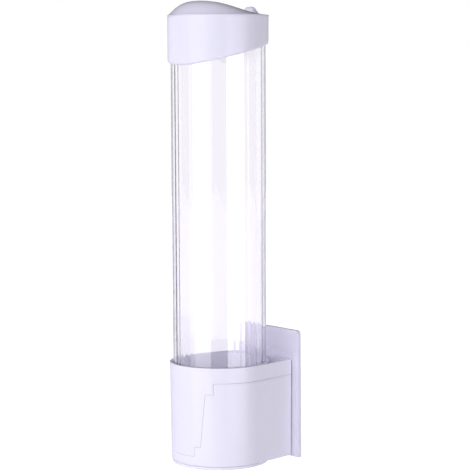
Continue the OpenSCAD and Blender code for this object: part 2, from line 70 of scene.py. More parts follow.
print("stage: frame loaded, tube radius, mouth and seam in mm", *np.round([tubeRadius, mouthZ, seamZ], 2))


# Surfaces: every shape is a grid of points in mm, round the tube's axis and up from the foot

def gridFaces(rows, columns, closeRows=False, closeColumns=False):
    # Face (i, j) joins row i to the next row between column j and the next column
    i = np.arange(rows if closeRows else rows - 1)
    j = np.arange(columns if closeColumns else columns - 1)
    i, j = np.meshgrid(i, j, indexing="ij")
    nextI, nextJ = (i + 1) % rows, (j + 1) % columns
    corners = [i * columns + j, i * columns + nextJ, nextI * columns + nextJ, nextI * columns + j]
    return np.stack(corners, -1).reshape(-1, 4)


def gridIsland(points, closeRows=False, closeColumns=False, caps=False):
    # points is rows x columns x 3, and caps closes the first and last column with one face each
    rows, columns = points.shape[:2]
    flat = points.reshape(-1, 3)
    faces = gridFaces(rows, columns, closeRows, closeColumns)
    # Volume under the faces is the sum of a . (b x c) over their two triangles, and is negative inside out
    a, b, c, d = (flat[faces[:, k]] for k in range(4))
    if (a * (np.cross(b, c) + np.cross(c, d))).sum() < 0:
        faces = faces[:, ::-1]
    faces = faces.tolist()
    if caps:
        first = (np.arange(rows) * columns).tolist()
        last = (np.arange(rows) * columns + columns - 1).tolist()
        # Face (i, j) runs from column j to j + 1, so the caps run against it and with it
        turned = faces[0][0] != 0 or faces[0][1] != 1
        faces += [first if turned else first[::-1], last[::-1] if turned else last]
    return flat, faces


def easedLoop(corners, reach, steps=6):
    # Each corner C becomes (1-t)^2 A + 2t(1-t) C + t^2 B, with A and B on its two sides at the distance reach
    corner = np.asarray(corners, float)
    before, after = np.roll(corner, 1, 0) - corner, np.roll(corner, -1, 0) - corner
    reach = np.broadcast_to(np.asarray(reach, float), len(corner))[:, None]
    a = corner + before / np.linalg.norm(before, axis=1, keepdims=True) * reach
    b = corner + after / np.linalg.norm(after, axis=1, keepdims=True) * reach
    t = np.linspace(0, 1, steps)[None, :, None]
    points = (1 - t) ** 2 * a[:, None] + 2 * t * (1 - t) * corner[:, None] + t ** 2 * b[:, None]
    return points.reshape(-1, 2)


def lathe(profile, columns=240):
    # A closed profile of (radius, height) points goes round the tube's axis
    turn = np.linspace(0, 2 * np.pi, columns, endpoint=False)
    profile = np.asarray(profile, float)
    points = np.stack([profile[:, :1] * np.sin(turn), -profile[:, :1] * np.cos(turn),
                       np.broadcast_to(profile[:, 1:], (len(profile), columns))], -1)
    return gridIsland(points, closeRows=True, closeColumns=True)


def barAlongX(outline, lowX, highX, edge):
    # An outline of (y, z) points is carried along x, and drawn in by edge at both ends
    outline = np.asarray(outline, float)
    along = np.roll(outline, -1, 0) - np.roll(outline, 1, 0)
    inward = np.stack([-along[:, 1], along[:, 0]], -1) / np.linalg.norm(along, axis=1, keepdims=True)
    area = (outline[:, 0] * np.roll(outline[:, 1], -1) - np.roll(outline[:, 0], -1) * outline[:, 1]).sum()
    inward *= np.sign(area)
    middle = edge * easeShare
    x = np.array([lowX, lowX + middle, lowX + edge, highX - edge, highX - middle, highX])
    inset = np.array([edge, middle, 0, 0, middle, edge])
    yz = outline[:, None] + inward[:, None] * inset[None, :, None]
    points = np.concatenate([np.broadcast_to(x[None, :, None], yz.shape[:2] + (1,)), yz], -1)
    return gridIsland(points, closeRows=True, caps=True)


def makePiece(name, islands, material, body, nodes=(), creaseAngle=38):
    points, faces, start = [], [], 0
    for flat, islandFaces in islands:
        points.append(flat)
        faces += [[corner + start for corner in face] for face in islandFaces]
        start += len(flat)
    mesh = bpy.data.meshes.new(name)
    mesh.from_pydata((np.concatenate(points) * mm + place).tolist(), [], faces)
    work = bmesh.new()
    work.from_mesh(mesh)
    bmesh.ops.remove_doubles(work, verts=work.verts, dist=weld)
    bmesh.ops.dissolve_degenerate(work, dist=sliver, edges=work.edges)
    work.to_mesh(mesh)
    work.free()
    return finishPiece(name, mesh, material, body, nodes, creaseAngle)


def finishPiece(name, mesh, material, body, nodes, creaseAngle):
    # A piece with no body here rides on none, and its caller bakes its place into the mesh
    mesh.polygons.foreach_set("use_smooth", np.ones(len(mesh.polygons), bool))
    mesh.set_sharp_from_angle(angle=math.radians(creaseAngle))
    mesh.materials.clear()
    mesh.materials.append(material)
    piece = bpy.data.objects.new(name, mesh)
    bpy.context.scene.collection.objects.link(piece)
    if body:
        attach(piece, body)
    if nodes:
        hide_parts(*nodes)
    return piece


def softened(name, node, material, body, edge, creaseAngle=32):
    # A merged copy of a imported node, with its flat faces whole again and its edges eased by edge mm
    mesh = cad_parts[node].data.copy()
    mesh.name = name
    work = bmesh.new()
    work.from_mesh(mesh)
    bmesh.ops.remove_doubles(work, verts=work.verts, dist=nodeWeld)
    bmesh.ops.dissolve_limit(work, angle_limit=math.radians(flatAngle), verts=work.verts, edges=work.edges)
    work.to_mesh(mesh)
    work.free()
    piece = finishPiece(name, mesh, material, body, (node,), creaseAngle)
    if edge:
        easeEdges(piece, edge, creaseAngle)
    return piece


def easeEdges(piece, edge, creaseAngle=32, segments=2):
    bevel = piece.modifiers.new("eased edges", "BEVEL")
    bevel.width = edge * mm
    bevel.segments = segments
    bevel.limit_method = "ANGLE"
    bevel.angle_limit = math.radians(creaseAngle)
    bevel.harden_normals = True
    return bevel


# Materials

def addNode(tree, kind, inputs=None, **settings):
    node = tree.nodes.new("ShaderNode" + kind)
    for key, value in settings.items():
        setattr(node, key, value)
    for key, value in (inputs or {}).items():
        if isinstance(value, bpy.types.NodeSocket):
            tree.links.new(value, node.inputs[key])
        else:
            node.inputs[key].default_value = value
    return node


def calc(tree, operation, *values, clamp=False):
    return addNode(tree, "Math", dict(enumerate(values)), operation=operation, use_clamp=clamp).outputs[0]


def mixColour(tree, share, first, second):
    return addNode(tree, "Mix", {0: share, 6: first, 7: second}, data_type="RGBA").outputs[2]


def mixValue(tree, share, first, second):
    return addNode(tree, "Mix", {0: share, 2: first, 3: second}).outputs[0]


def smoothRamp(tree, value, low, high):
    # 0 below low, 1 above high and a smooth rise between them
    limits = {"Value": value, "From Min": low, "From Max": high}
    return addNode(tree, "MapRange", limits, interpolation_type="SMOOTHSTEP").outputs[0]


def newMaterial(name):
    material = bpy.data.materials.new(name)
    material.use_nodes = True
    material.node_tree.nodes.clear()
    return material, material.node_tree


# Scale in waves to the metre, detail and roughness of each noise. The grain's scale comes from its size in mm
skinNoises = {"grain": (2.0, 0.6), "wave": (38.0, 1.5, 0.4), "cloud": (90.0, 4.0, 0.65)}
skinInputs = {"Grain Size": 0.4, "Grain": 1.0, "Wave": 1.0, "Roughness": 0.35, "Gloss Change": 0.05}


def mouldedSkinGroup(noises):
    # Fine grain and slow waves of a moulded surface, and the small change of gloss and tone with them
    group = bpy.data.node_groups.new("mouldedSkin", "ShaderNodeTree")
    for name, value in skinInputs.items():
        socket = group.interface.new_socket(name=name, in_out="INPUT", socket_type="NodeSocketFloat")
        socket.default_value = value
    for name in ("Height", "Roughness", "Tone"):
        group.interface.new_socket(name=name, in_out="OUTPUT", socket_type="NodeSocketFloat")
    inside = addNode(group, "TexCoord").outputs["Object"]
    given = group.nodes.new("NodeGroupInput").outputs
    out = group.nodes.new("NodeGroupOutput").inputs

    def noise(scale, detail, roughness):
        settings = {"Vector": inside, "Scale": scale, "Detail": detail, "Roughness": roughness}
        return addNode(group, "TexNoise", settings).outputs["Fac"]

    grain = noise(calc(group, "DIVIDE", 1 / mm, given["Grain Size"]), *noises["grain"])
    wave, cloud = noise(*noises["wave"]), noise(*noises["cloud"])
    grainHeight = calc(group, "MULTIPLY", grain, given["Grain"])
    height = calc(group, "ADD", grainHeight, calc(group, "MULTIPLY", wave, given["Wave"]))
    change = calc(group, "MULTIPLY", calc(group, "SUBTRACT", cloud, 0.5), given["Gloss Change"])
    group.links.new(height, out["Height"])
    group.links.new(calc(group, "ADD", given["Roughness"], change, clamp=True), out["Roughness"])
    group.links.new(cloud, out["Tone"])
    return group


def placeSkin(tree, look):
    node = tree.nodes.new("ShaderNodeGroup")
    node.node_tree = mouldedSkin
    for name, key in zip(skinInputs, ("grainSize", "grain", "wave", "roughness", "glossChange")):
        node.inputs[name].default_value = look[key]
    return node.outputs


def addBump(tree, height, look):
    values = {"Height": height, "Strength": look["bump"], "Distance": look["bumpDepth"] * mm}
    return addNode(tree, "Bump", values).outputs[0]


def mouldedPlastic(name, look):
    # Pale moulded plastic: two close tones, a fine grain and slow waves under the gloss
    material, tree = newMaterial(name)
    skin = placeSkin(tree, look)
    colour = mixColour(tree, skin["Tone"], (*look["shadeTone"], 1), (*look["lightTone"], 1))
    bump = addBump(tree, skin["Height"], look)
    shader = addNode(tree, "BsdfPrincipled", {"Base Color": colour, "Roughness": skin["Roughness"],
                                              "Normal": bump, "IOR": look["ior"]})
    tree.links.new(shader.outputs[0], addNode(tree, "OutputMaterial").inputs[0])
    return material


mouldedSkin = mouldedSkinGroup(skinNoises)
shellLook = {"lightTone": (0.90, 0.885, 0.955), "shadeTone": (0.875, 0.86, 0.94), "roughness": 0.18,
             "glossChange": 0.04, "grainSize": 0.35, "grain": 0.5, "wave": 0.8, "bump": 1.0,
             "bumpDepth": 0.03, "ior": 1.5}
plateLook = dict(shellLook, lightTone=(0.86, 0.845, 0.925), shadeTone=(0.83, 0.815, 0.905), roughness=0.42)
innerLook = dict(shellLook, lightTone=(0.78, 0.765, 0.86), shadeTone=(0.74, 0.725, 0.83), roughness=0.45,
                 grain=0.8)
clawLook = dict(shellLook, lightTone=(0.62, 0.60, 0.73), shadeTone=(0.57, 0.55, 0.69), roughness=0.38)
shellPlastic = mouldedPlastic("white moulded shell", shellLook)
platePlastic = mouldedPlastic("white moulded plate", plateLook)
innerPlastic = mouldedPlastic("pale inner moulding", innerLook)
clawPlastic = mouldedPlastic("grey claw moulding", clawLook)

# The edge tint and edge bands are painted shade: dark lines near the tube's edges that stand in for its
# refraction and reflection lines
tubeLook = {"tint": (0.976, 0.962, 1.0), "paintedEdgeShade": (0.06, 0.05, 0.10), "shadow": (0.93, 0.93, 0.96),
            "ior": 1.49, "coatIor": 1.7,
            "paintedShadeLines": [(0.55, 0.59, 0.61, 0.65, 0.8), (0.72, 0.76, 0.80, 0.86, 1.0)], "lineDepth": 1.1,
            "roughness": 0.012, "glossChange": 0.01, "grainSize": 3.0, "grain": 0.0, "wave": 0.25,
            "bump": 1.0, "bumpDepth": 0.004}


def clearPlastic(look):
    # Clear tube: light passes straight for shadows, and near its edges the outside gets two painted dark
    # lines, set by the facing value, which stand in for the dark refraction and reflection lines in the
    # wall's own thickness. Each line is (start, full, still full, end) of the facing value and its strength
    material, tree = newMaterial("clear tube plastic")
    facing = addNode(tree, "LayerWeight", {"Blend": 0.5}).outputs["Facing"]
    inside = addNode(tree, "TexCoord").outputs["Object"]
    fromPlace = addNode(tree, "VectorMath", {0: inside, 1: (0, -axisY, 0)}, operation="ADD").outputs[0]
    flat = addNode(tree, "VectorMath", {0: fromPlace, 1: (1, 1, 0)}, operation="MULTIPLY").outputs[0]
    fromAxis = addNode(tree, "VectorMath", {0: flat}, operation="LENGTH").outputs["Value"]
    outside = calc(tree, "GREATER_THAN", fromAxis, (tubeRadius - look["lineDepth"]) * mm)
    paintedLines = 0.0
    for start, full, stillFull, end, strength in look["paintedShadeLines"]:
        rise, fall = smoothRamp(tree, facing, start, full), smoothRamp(tree, facing, stillFull, end)
        paintedLines = calc(tree, "ADD", paintedLines, calc(tree, "MULTIPLY", calc(tree, "SUBTRACT", rise, fall), strength))
    # Painted shade: the dark edge lines go into the base colour, on the outer surface only
    edge = calc(tree, "MULTIPLY", paintedLines, outside)
    colour = mixColour(tree, edge, (*look["tint"], 1), (*look["paintedEdgeShade"], 1))
    skin = placeSkin(tree, look)
    bump = addBump(tree, skin["Height"], look)
    shader = addNode(tree, "BsdfPrincipled", {"Base Color": colour, "Roughness": skin["Roughness"],
                                              "IOR": look["ior"], "Transmission Weight": 1.0, "Normal": bump,
                                              "Coat Weight": 1.0, "Coat Roughness": look["roughness"],
                                              "Coat IOR": look["coatIor"]})
    clear = addNode(tree, "BsdfTransparent", {"Color": (*look["shadow"], 1)})
    shadowRay = addNode(tree, "LightPath").outputs["Is Shadow Ray"]
    mix = addNode(tree, "MixShader", {0: shadowRay, 1: shader.outputs[0], 2: clear.outputs[0]})
    tree.links.new(mix.outputs[0], addNode(tree, "OutputMaterial").inputs[0])
    return material


steelLook = {"shadeTone": (0.62, 0.62, 0.66), "lightTone": (0.78, 0.78, 0.80), "roughness": 0.26,
             "glossChange": 0.16, "grainSize": 0.25, "grain": 1.0, "wave": 0.0, "bump": 0.6,
             "bumpDepth": 0.01}
foamLook = {"poreTone": (0.80, 0.80, 0.82), "cellTone": (0.93, 0.93, 0.94), "cells": 2600.0,
            "roughness": 0.85, "bump": 0.8, "bumpDepth": 0.1}


def brightSteel(look):
    # Plated steel with a fine grain and an uneven gloss
    material, tree = newMaterial("plated steel")
    skin = placeSkin(tree, look)
    colour = mixColour(tree, skin["Tone"], (*look["shadeTone"], 1), (*look["lightTone"], 1))
    bump = addBump(tree, skin["Height"], look)
    shader = addNode(tree, "BsdfPrincipled", {"Base Color": colour, "Roughness": skin["Roughness"],
                                              "Metallic": 1.0, "Normal": bump})
    tree.links.new(shader.outputs[0], addNode(tree, "OutputMaterial").inputs[0])
    return material


def foamTape(look):
    # Closed-cell foam: small round pores from a cell pattern
    material, tree = newMaterial("foam mounting tape")
    inside = addNode(tree, "TexCoord").outputs["Object"]
    cells = addNode(tree, "TexVoronoi", {"Vector": inside, "Scale": look["cells"]}).outputs["Distance"]
    colour = mixColour(tree, cells, (*look["poreTone"], 1), (*look["cellTone"], 1))
    bump = addBump(tree, cells, look)
    shader = addNode(tree, "BsdfPrincipled", {"Base Color": colour, "Roughness": look["roughness"],
                                              "Normal": bump})
    tree.links.new(shader.outputs[0], addNode(tree, "OutputMaterial").inputs[0])
    return material


tubePlastic = clearPlastic(tubeLook)
steel = brightSteel(steelLook)
foam = foamTape(foamLook)
print("stage: materials made")

# Clear tube
tubeShape = {"bore": 41.8, "ribRise": 0.20, "ribStep": 8.4985, "groups": 4, "ribsPerGroup": 5,
             "endRound": 0.4, "columns": 1440}


def boreRadius(turn, shape):
    # Each rib is one wave of h (1 + cos(360 d / step)) / 2 on the bore, with d the angle from the rib's
    # middle
    groups = np.arange(shape["groups"])[:, None] * (360 / shape["groups"])
    steps = np.arange(shape["ribsPerGroup"]) - (shape["ribsPerGroup"] - 1) / 2
    places = (groups + steps * shape["ribStep"]).ravel()
    away = np.abs((np.degrees(turn)[:, None] - places + 180) % 360 - 180) / shape["ribStep"]
    wave = np.where(away < 0.5, 0.5 + 0.5 * np.cos(2 * np.pi * away), 0)
    return shape["bore"] - shape["ribRise"] * wave.sum(axis=1)


def cupTube(shape):
    # Rows run up the outside, over the rounded top end, down the bore and round the lower end
    turn = np.linspace(0, 2 * np.pi, shape["columns"], endpoint=False)
    bore, e = boreRadius(turn, shape), shape["endRound"]
    swing = np.radians(np.linspace(0, 90, 4))
    inset, rise = e * (1 - np.sin(swing)), e * (1 - np.cos(swing))      # from the end face to the wall
    # A row 2 e from each end keeps the long walls' normals level
    heights = np.concatenate([tubeFoot + rise, [tubeFoot + 2 * e, tubeTop - 2 * e], tubeTop - rise[::-1]])
    insets = np.concatenate([inset, [0, 0], inset[::-1]])
    outer = tubeRadius - insets[:, None] + 0 * turn
    inner = bore + insets[::-1, None]
    radius = np.concatenate([outer, inner])
    height = np.concatenate([heights, heights[::-1]])[:, None] + 0 * turn
    points = np.stack([radius * np.cos(turn), radius * np.sin(turn), height], -1)
    return gridIsland(points, closeRows=True, closeColumns=True)


makePiece("cupTube", [cupTube(tubeShape)], tubePlastic, "tube", ("cup_tube",))
print("stage: clear tube made")

# Skirt that carries the lid, with its ledge and fixed hinge knuckles
skirtShape = {"outer": 46.8, "bore": 44.15, "pocket": 44.45, "ledgeBore": 41.8, "ledge": 2.2,
              "frontHeight": 45.0, "backHeight": 24.0, "bow": 1.8, "edgeRise": 3.0, "edgeIn": 1.7,
              "topRound": 0.35, "notchHalf": 10.3, "notchZ": 408.5, "notchEase": 0.05, "ease": 0.3,
              "ledgeEase": 0.25, "rows": (0.35, 0.55, 0.75, 0.95), "columns": 288}
hingeShape = {"y": 46.5, "z": 411.6, "radius": 2.8, "lidHalf": 10.0, "fixedLow": 10.3, "fixedHigh": 14.25,
              "root": 3.8, "edge": 0.35}


def skirtWall(shape):
    # The lower edge rises from front to back as low + (high-low)(s+1)/2 + bow(1-s^2), with s as y over the
    # radius
    notch = math.degrees(math.asin(shape["notchHalf"] / shape["outer"]))
    side = np.array([-shape["notchEase"], shape["notchEase"]])
    even = np.linspace(-180, 180, shape["columns"], endpoint=False)
    turn = np.radians(np.sort(np.concatenate([even, 180 - notch + side, -180 + notch + side])))
    share = -np.cos(turn)
    front, back = seamZ - shape["frontHeight"], shape["frontHeight"] - shape["backHeight"]
    low = front + back * (share + 1) / 2 + shape["bow"] * (1 - share ** 2)
    top = np.where(180 - np.abs(np.degrees(turn)) < notch, shape["notchZ"], seamZ)
    swing = np.radians(np.linspace(0, 90, 7))
    outer, bore, pocket, ledgeBore = (shape[key] for key in ("outer", "bore", "pocket", "ledgeBore"))
    q, e, g, ledgeZ = shape["topRound"], shape["ease"], shape["ledgeEase"], tubeTop + shape["ledge"]
    # Each row is its radius, its shares of the lower and the upper edge's height, and its rise above them
    rows = [(outer - shape["edgeIn"] * (1 - math.sin(a)), 1, 0, shape["edgeRise"] * (1 - math.cos(a)))
            for a in swing]
    rows += [(outer, 1 - f, f, 0.0) for f in shape["rows"]]
    rows += [(outer, 0, 1, -q), (outer - q * easeShare, 0, 1, -q * easeShare), (outer - q, 0, 1, 0),
             (pocket + e, 0, 1, 0), (pocket, 0, 1, -e)]
    rows += [(pocket, 0, 0, ledgeZ), (ledgeBore + g, 0, 0, ledgeZ), (ledgeBore, 0, 0, ledgeZ - g),
             (ledgeBore, 0, 0, tubeTop + g), (ledgeBore + g, 0, 0, tubeTop), (bore, 0, 0, tubeTop)]
    rows += [(bore, 1, 0, e), (bore + e, 1, 0, 0)]
    radius, onLow, onTop, lift = (np.array(column)[:, None] for column in zip(*rows))
    height = onLow * low + onTop * top + lift
    points = np.stack([radius * np.sin(turn), -radius * np.cos(turn), height], -1)
    return gridIsland(points, closeRows=True, closeColumns=True)


def knuckleArc(shape, start, end, count):
    # Circle round the pin as (y + r cos a, z + r sin a), with a in degrees from start to end
    swing = np.radians(np.linspace(start, end, count))
    y, z = shape["y"] + shape["radius"] * np.cos(swing), shape["z"] + shape["radius"] * np.sin(swing)
    return np.stack([y, z], -1)


def fixedKnuckles(shape):
    # Half a circle and the flat root in front of it, carried along x on both sides of the lid's knuckle
    front = shape["y"] - shape["root"]
    low, high = shape["z"] - shape["radius"], shape["z"] + shape["radius"]
    outline = np.concatenate([knuckleArc(shape, 90, -90, 22), [[front, low], [front, high]]])
    return [barAlongX(outline, shape["fixedLow"], shape["fixedHigh"], shape["edge"]),
            barAlongX(outline, -shape["fixedHigh"], -shape["fixedLow"], shape["edge"])]


skirtIslands = [skirtWall(skirtShape)] + fixedKnuckles(hingeShape)
makePiece("skirt", skirtIslands, shellPlastic, "tube", ("lid_collar",))
print("stage: skirt made")

# Lid
lidShape = {"rim": 47.3, "rimHeight": 0.8, "rimRound": 0.3, "rimFoot": 0.25, "rimTuck": 0.4,
            "seamGap": 0.02, "hillRadius": 46.9, "hillHeight": 15.5, "hillPower": 4.6, "edgePower": 1.38,
            "lowShare": 0.105, "shift": -0.092, "slope": 0.22, "wall": 1.8, "capBore": 42.05,
            "tabHeight": 7.6, "tabWidth": 8.25, "tabDepth": 4.4, "tabPlace": 0.82, "tabFlank": 5.0,
            "tabFace": 2.5, "tabFade": 12, "lipRadius": 44.15, "lipWall": 1.4, "lipHeight": 3.0,
            "lipEnd": 15.6, "lipEase": (0.4, 0.3), "rings": 84, "sparse": 0.75, "spokes": 288}


def lidHill(x, y, shape):
    # Height = H (1-p^k)^e (a + (1-a)/(1+exp((y/R-b)/c))) plus the tab, with p the distance from the centre
    # over R
    radius, low = shape["hillRadius"], shape["lowShare"]
    share = np.minimum(np.hypot(x, y) / radius, 1)
    edge = (1 - share ** shape["hillPower"]) ** shape["edgePower"]
    fall = low + (1 - low) / (1 + np.exp((y / radius - shape["shift"]) / shape["slope"]))
    tab = (shape["tabHeight"] * np.exp(-(np.abs(x) / shape["tabWidth"]) ** shape["tabFlank"])
           * np.exp(-(np.abs(y - radius * shape["tabPlace"]) / shape["tabDepth"]) ** shape["tabFace"]))
    return shape["hillHeight"] * edge * fall + tab * np.minimum((1 - share) * shape["tabFade"], 1)


def lidCap(shape):
    # Rings run from the crown over the rim and back in along the underside. A third of them fill the sparse
    # middle
    turn = np.linspace(0, 2 * np.pi, shape["spokes"], endpoint=False)
    few, sparse = shape["rings"] // 3, shape["sparse"]
    outward = np.concatenate([np.linspace(0, sparse, few, endpoint=False),
                              np.linspace(sparse, 1, shape["rings"] - few)])[:, None]
    q, rim, high, gap = shape["rimRound"], shape["rim"], shape["rimHeight"], shape["seamGap"]
    topR = shape["hillRadius"] * outward + 0 * turn
    topX, topY = topR * np.sin(turn), -topR * np.cos(turn)
    topZ = high + lidHill(topX, topY, shape)
    rimRows = [(rim - q, high), (rim - q * easeShare, high - q * easeShare), (rim, high - q),
               (rim, shape["rimFoot"]), (rim - q * shape["rimTuck"], gap), (shape["capBore"], gap)]
    rimR, rimZ = (np.array(column)[:, None] + 0 * turn for column in zip(*rimRows))
    underR = shape["capBore"] * outward[::-1][1:] + 0 * turn
    underX, underY = underR * np.sin(turn), -underR * np.cos(turn)
    underZ = np.maximum(high + lidHill(underX, underY, shape) - shape["wall"], gap)
    radius = np.concatenate([topR, rimR, underR])
    height = np.concatenate([topZ, rimZ, underZ]) + seamZ
    points = np.stack([radius * np.sin(turn), -radius * np.cos(turn), height], -1)
    return gridIsland(points, closeColumns=True)


def lidLip(shape):
    # A short ring under the lid's front that centres it in the skirt, open at the back
    ends = math.degrees(math.acos(-shape["lipEnd"] / shape["lipRadius"]))
    turn = np.radians(np.linspace(-ends, ends, 160))
    outer, inner = shape["lipRadius"], shape["lipRadius"] - shape["lipWall"]
    low, high = seamZ - shape["lipHeight"], seamZ + shape["rimHeight"] / 2
    e, g = shape["lipEase"]
    profile = np.array([[outer, high], [outer, low + e], [outer - e, low], [inner + g, low], [inner, low + g],
                        [inner, high]])
    radius, height = profile[:, :1], profile[:, 1:] + 0 * turn
    points = np.stack([radius * np.sin(turn), -radius * np.cos(turn), height], -1)
    return gridIsland(points, closeRows=True, caps=True)


def lidKnuckle(shape, lid):
    # Circle round the pin with a neck up into the lid
    half = shape["radius"] / 2
    start = math.degrees(math.acos(half / shape["radius"]))
    circle = knuckleArc(shape, start, -180 - start, 40)
    top = seamZ + lid["rimHeight"] / 2
    outline = np.concatenate([circle, [[shape["y"] - half, top], [shape["y"] + half, top]]])
    return barAlongX(outline, -shape["lidHalf"], shape["lidHalf"], shape["edge"])


lidIslands = [lidCap(lidShape), lidLip(lidShape), lidKnuckle(hingeShape, lidShape)]
makePiece("lid", lidIslands, shellPlastic, "lid", ("lid",))
print("stage: lid made")

# Housing and the collar let into its front
wallShape = {"mouth": 47.2, "foot": 46.2, "taper": 9.0, "thick": 2.2, "footRound": 2.0, "socket": 44.7,
             "socketOut": 45.9, "socketEase": 0.25, "mouthEase": 0.4, "mouthGap": 0.02, "mouthIn": 0.12,
             "mouthEdge": 0.1, "innerHeights": (78, 60, 40, 20, 6.0),
             "footIn": [(3.4, 0.1), (2.0, 0.7), (0.06, 1.6)], "columns": (14, 5, 6, 30, 8),
             "rowSteps": (4, 3)}
floorShape = {"inset": 2.9, "low": 0.03, "high": 2.4, "hole": 41.3, "ease": 0.2, "backGap": 0.02,
              "columns": 240}
collarShape = {"thick": 1.1, "band": 14.0, "step": 10.4, "stepHalf": 33.0, "topHalf": 27.0, "endHalf": 22.5,
               "endZ": 18.5, "toeHalf": 16.5, "toeZ": 9.6, "edge": 0.22, "slack": 1e-6}
# Gaps are the rows' and columns' distances from the collar's outline. The recess has the given depths at
# the distances beyond it
recessShape = {"gaps": (0.34, 0.17, 0.12), "beyond": (0.125, 0.17, 0.34), "depths": (1.22, 0.08, 0.0),
               "reach": 1.0}


def collarHeights(collar):
    # Lower ends of the toe, the tongue, the step and the band
    bandZ = mouthZ - collar["band"]
    return collar["toeZ"], collar["endZ"], bandZ - collar["step"], bandZ


def tongueHalf(z, collar):
    # The tongue widens evenly from its end to the step
    endZ, stepZ = collarHeights(collar)[1:3]
    share = np.clip((z - endZ) / (stepZ - endZ), 0, 1)
    return collar["endHalf"] + (collar["topHalf"] - collar["endHalf"]) * share


def beyondCollar(x, z, collar):
    # Distance outside the collar's outline: the least over its toe, tongue, step and band of the most over
    # their sides
    toeZ, endZ, stepZ, bandZ = collarHeights(collar)
    tongue = np.maximum(np.abs(x) - tongueHalf(z, collar), endZ - z)
    step = np.maximum(np.abs(x) - collar["stepHalf"], stepZ - z)
    toe = np.maximum(np.abs(x) - collar["toeHalf"], toeZ - z)
    return np.minimum(np.minimum(np.minimum(toe, tongue), step), bandZ - z)


def wallGrid(heights, insets, offsets, wall, collar):
    # Columns follow the collar's outline at the given offsets, go round the front as r (sin a, -cos a) to
    # the angle 90 + taper, and then straight back to the rear edge. Gives x and y for every height and
    # inset. The counts are for the stretches to the toe, the tongue, the step, the end of the round and the
    # rear edge
    toToe, toTongue, toStep, toSide, toRear = wall["columns"]
    z = np.asarray(heights, float)[:, None]
    radius = (wall["foot"] + (wall["mouth"] - wall["foot"]) * z / mouthZ) - np.asarray(insets, float)[:, None]
    offsets = np.asarray(offsets, float)[None, :]
    toe = np.degrees(np.arcsin((collar["toeHalf"] + offsets) / radius))
    tongue = np.degrees(np.arcsin((tongueHalf(z, collar) + offsets) / radius))
    step = np.degrees(np.arcsin((collar["stepHalf"] + offsets) / radius))
    end = 90 + wall["taper"]

    def between(low, high, count):
        return low + (high - low) * (np.arange(1, count) / count)[None, :]

    zero = 0 * radius
    half = np.concatenate([between(zero, toe[:, :1], toToe), toe,
                           between(toe[:, -1:], tongue[:, :1], toTongue), tongue,
                           between(tongue[:, -1:], step[:, :1], toStep), step,
                           between(step[:, -1:], zero + end, toSide), zero + end], 1)
    angle = np.radians(np.concatenate([-half[:, ::-1], zero, half], 1))
    arcX, arcY = radius * np.sin(angle), -radius * np.cos(angle)
    lean = math.radians(wall["taper"])
    bend, share = radius * math.sin(lean), (np.arange(1, toRear + 1) / toRear)[None, :]
    y = bend + (backY - bend) * share
    x = (radius - y * math.sin(lean)) / math.cos(lean)
    return np.concatenate([-x[:, ::-1], arcX, x], 1), np.concatenate([y[:, ::-1], arcY, y], 1), z


def spread(low, high, step):
    # Even places from low to high, about step apart
    return np.linspace(low, high, max(2, int(round((high - low) / step)) + 1))


def housingWall(wall, collar, recess):
    # One closed profile: up the outside from the rounded foot, over the mouth and down the inside
    toeZ, endZ, stepZ, bandZ = collarHeights(collar)
    gaps, far = np.array(recess["gaps"]), recess["gaps"][0]
    swing = np.radians(np.linspace(0, 90, 8))
    q = wall["footRound"]
    heights, (coarse, fine) = [q * (1 - np.cos(swing))], wall["rowSteps"]
    parts = ((q, toeZ, coarse), (toeZ, endZ, coarse), (endZ, stepZ, coarse), (stepZ, bandZ, fine))
    for low, high, step in parts:
        heights += [spread(low, high - far, step)[1:-1], high - gaps]
    heights = np.concatenate(heights + [spread(bandZ, mouthZ - wall["mouthEase"], fine)[1:]])
    insets = np.concatenate([q * (1 - np.sin(swing)), np.zeros(len(heights) - len(swing))])

    def rowsAt(rowHeights, rowInsets):
        x, y, z = wallGrid(rowHeights, rowInsets, gaps[::-1], wall, collar)
        return np.stack([x, y, z + 0 * x], -1)

    outer, deeper = rowsAt(heights, insets), rowsAt(heights, insets + recess["reach"])
    # The recess is a ramp of the distance beyond the outline, with an eased lip at its top
    depth = np.interp(beyondCollar(outer[..., 0], outer[..., 2], collar), recess["beyond"], recess["depths"])
    outer = outer + (deeper - outer) * depth[..., None]
    thick, top = wall["thick"], mouthZ - wall["mouthGap"]
    rest = [(top, recess["depths"][0] + wall["mouthIn"]), (top, thick - wall["mouthEdge"]),
            (mouthZ - wall["mouthIn"], thick)]
    rest += [(height, thick) for height in wall["innerHeights"]]
    rest += [(height, thick + more) for height, more in wall["footIn"]]
    return gridIsland(np.concatenate([outer, rowsAt(*zip(*rest))]), closeRows=True, caps=True)


def housingFloor(wall, shape):
    # Flat ring between the plan, drawn in under the wall, and the round hole. In each direction the plan
    # reaches the front's radius, and behind that the leaning side or the straight back, whichever is nearer
    lean, radius, back = math.radians(wall["taper"]), wall["foot"] - shape["inset"], backY - shape["backGap"]
    corner = math.pi - math.atan2((radius - backY * math.sin(lean)) / math.cos(lean), back)
    even = np.linspace(-np.pi, np.pi, shape["columns"], endpoint=False)
    turn = np.sort(np.concatenate([even, [corner, -corner]]))
    size = np.abs(turn)
    side = radius / np.maximum(np.sin(size - lean), 0.05)
    rear = back / np.maximum(-np.cos(size), 0.05)
    reach = np.where(size < math.pi / 2 + lean, radius, np.minimum(side, rear))
    low, high, hole, e = shape["low"], shape["high"], shape["hole"], shape["ease"]
    rows = [(reach, low), (reach, high), (hole + e, high), (hole, high - e), (hole, low)]
    points = np.stack([np.stack([r * np.sin(turn), -r * np.cos(turn), h + 0 * turn], -1) for r, h in rows])
    return gridIsland(points, closeRows=True, closeColumns=True)


def socketRing(wall):
    # The tube's seat: an eased rectangle turned round the axis
    inner, outer = wall["socket"], wall["socketOut"]
    corners = [[inner, tubeFoot], [outer, tubeFoot], [outer, mouthZ], [inner, mouthZ]]
    return lathe(easedLoop(corners, wall["socketEase"]))


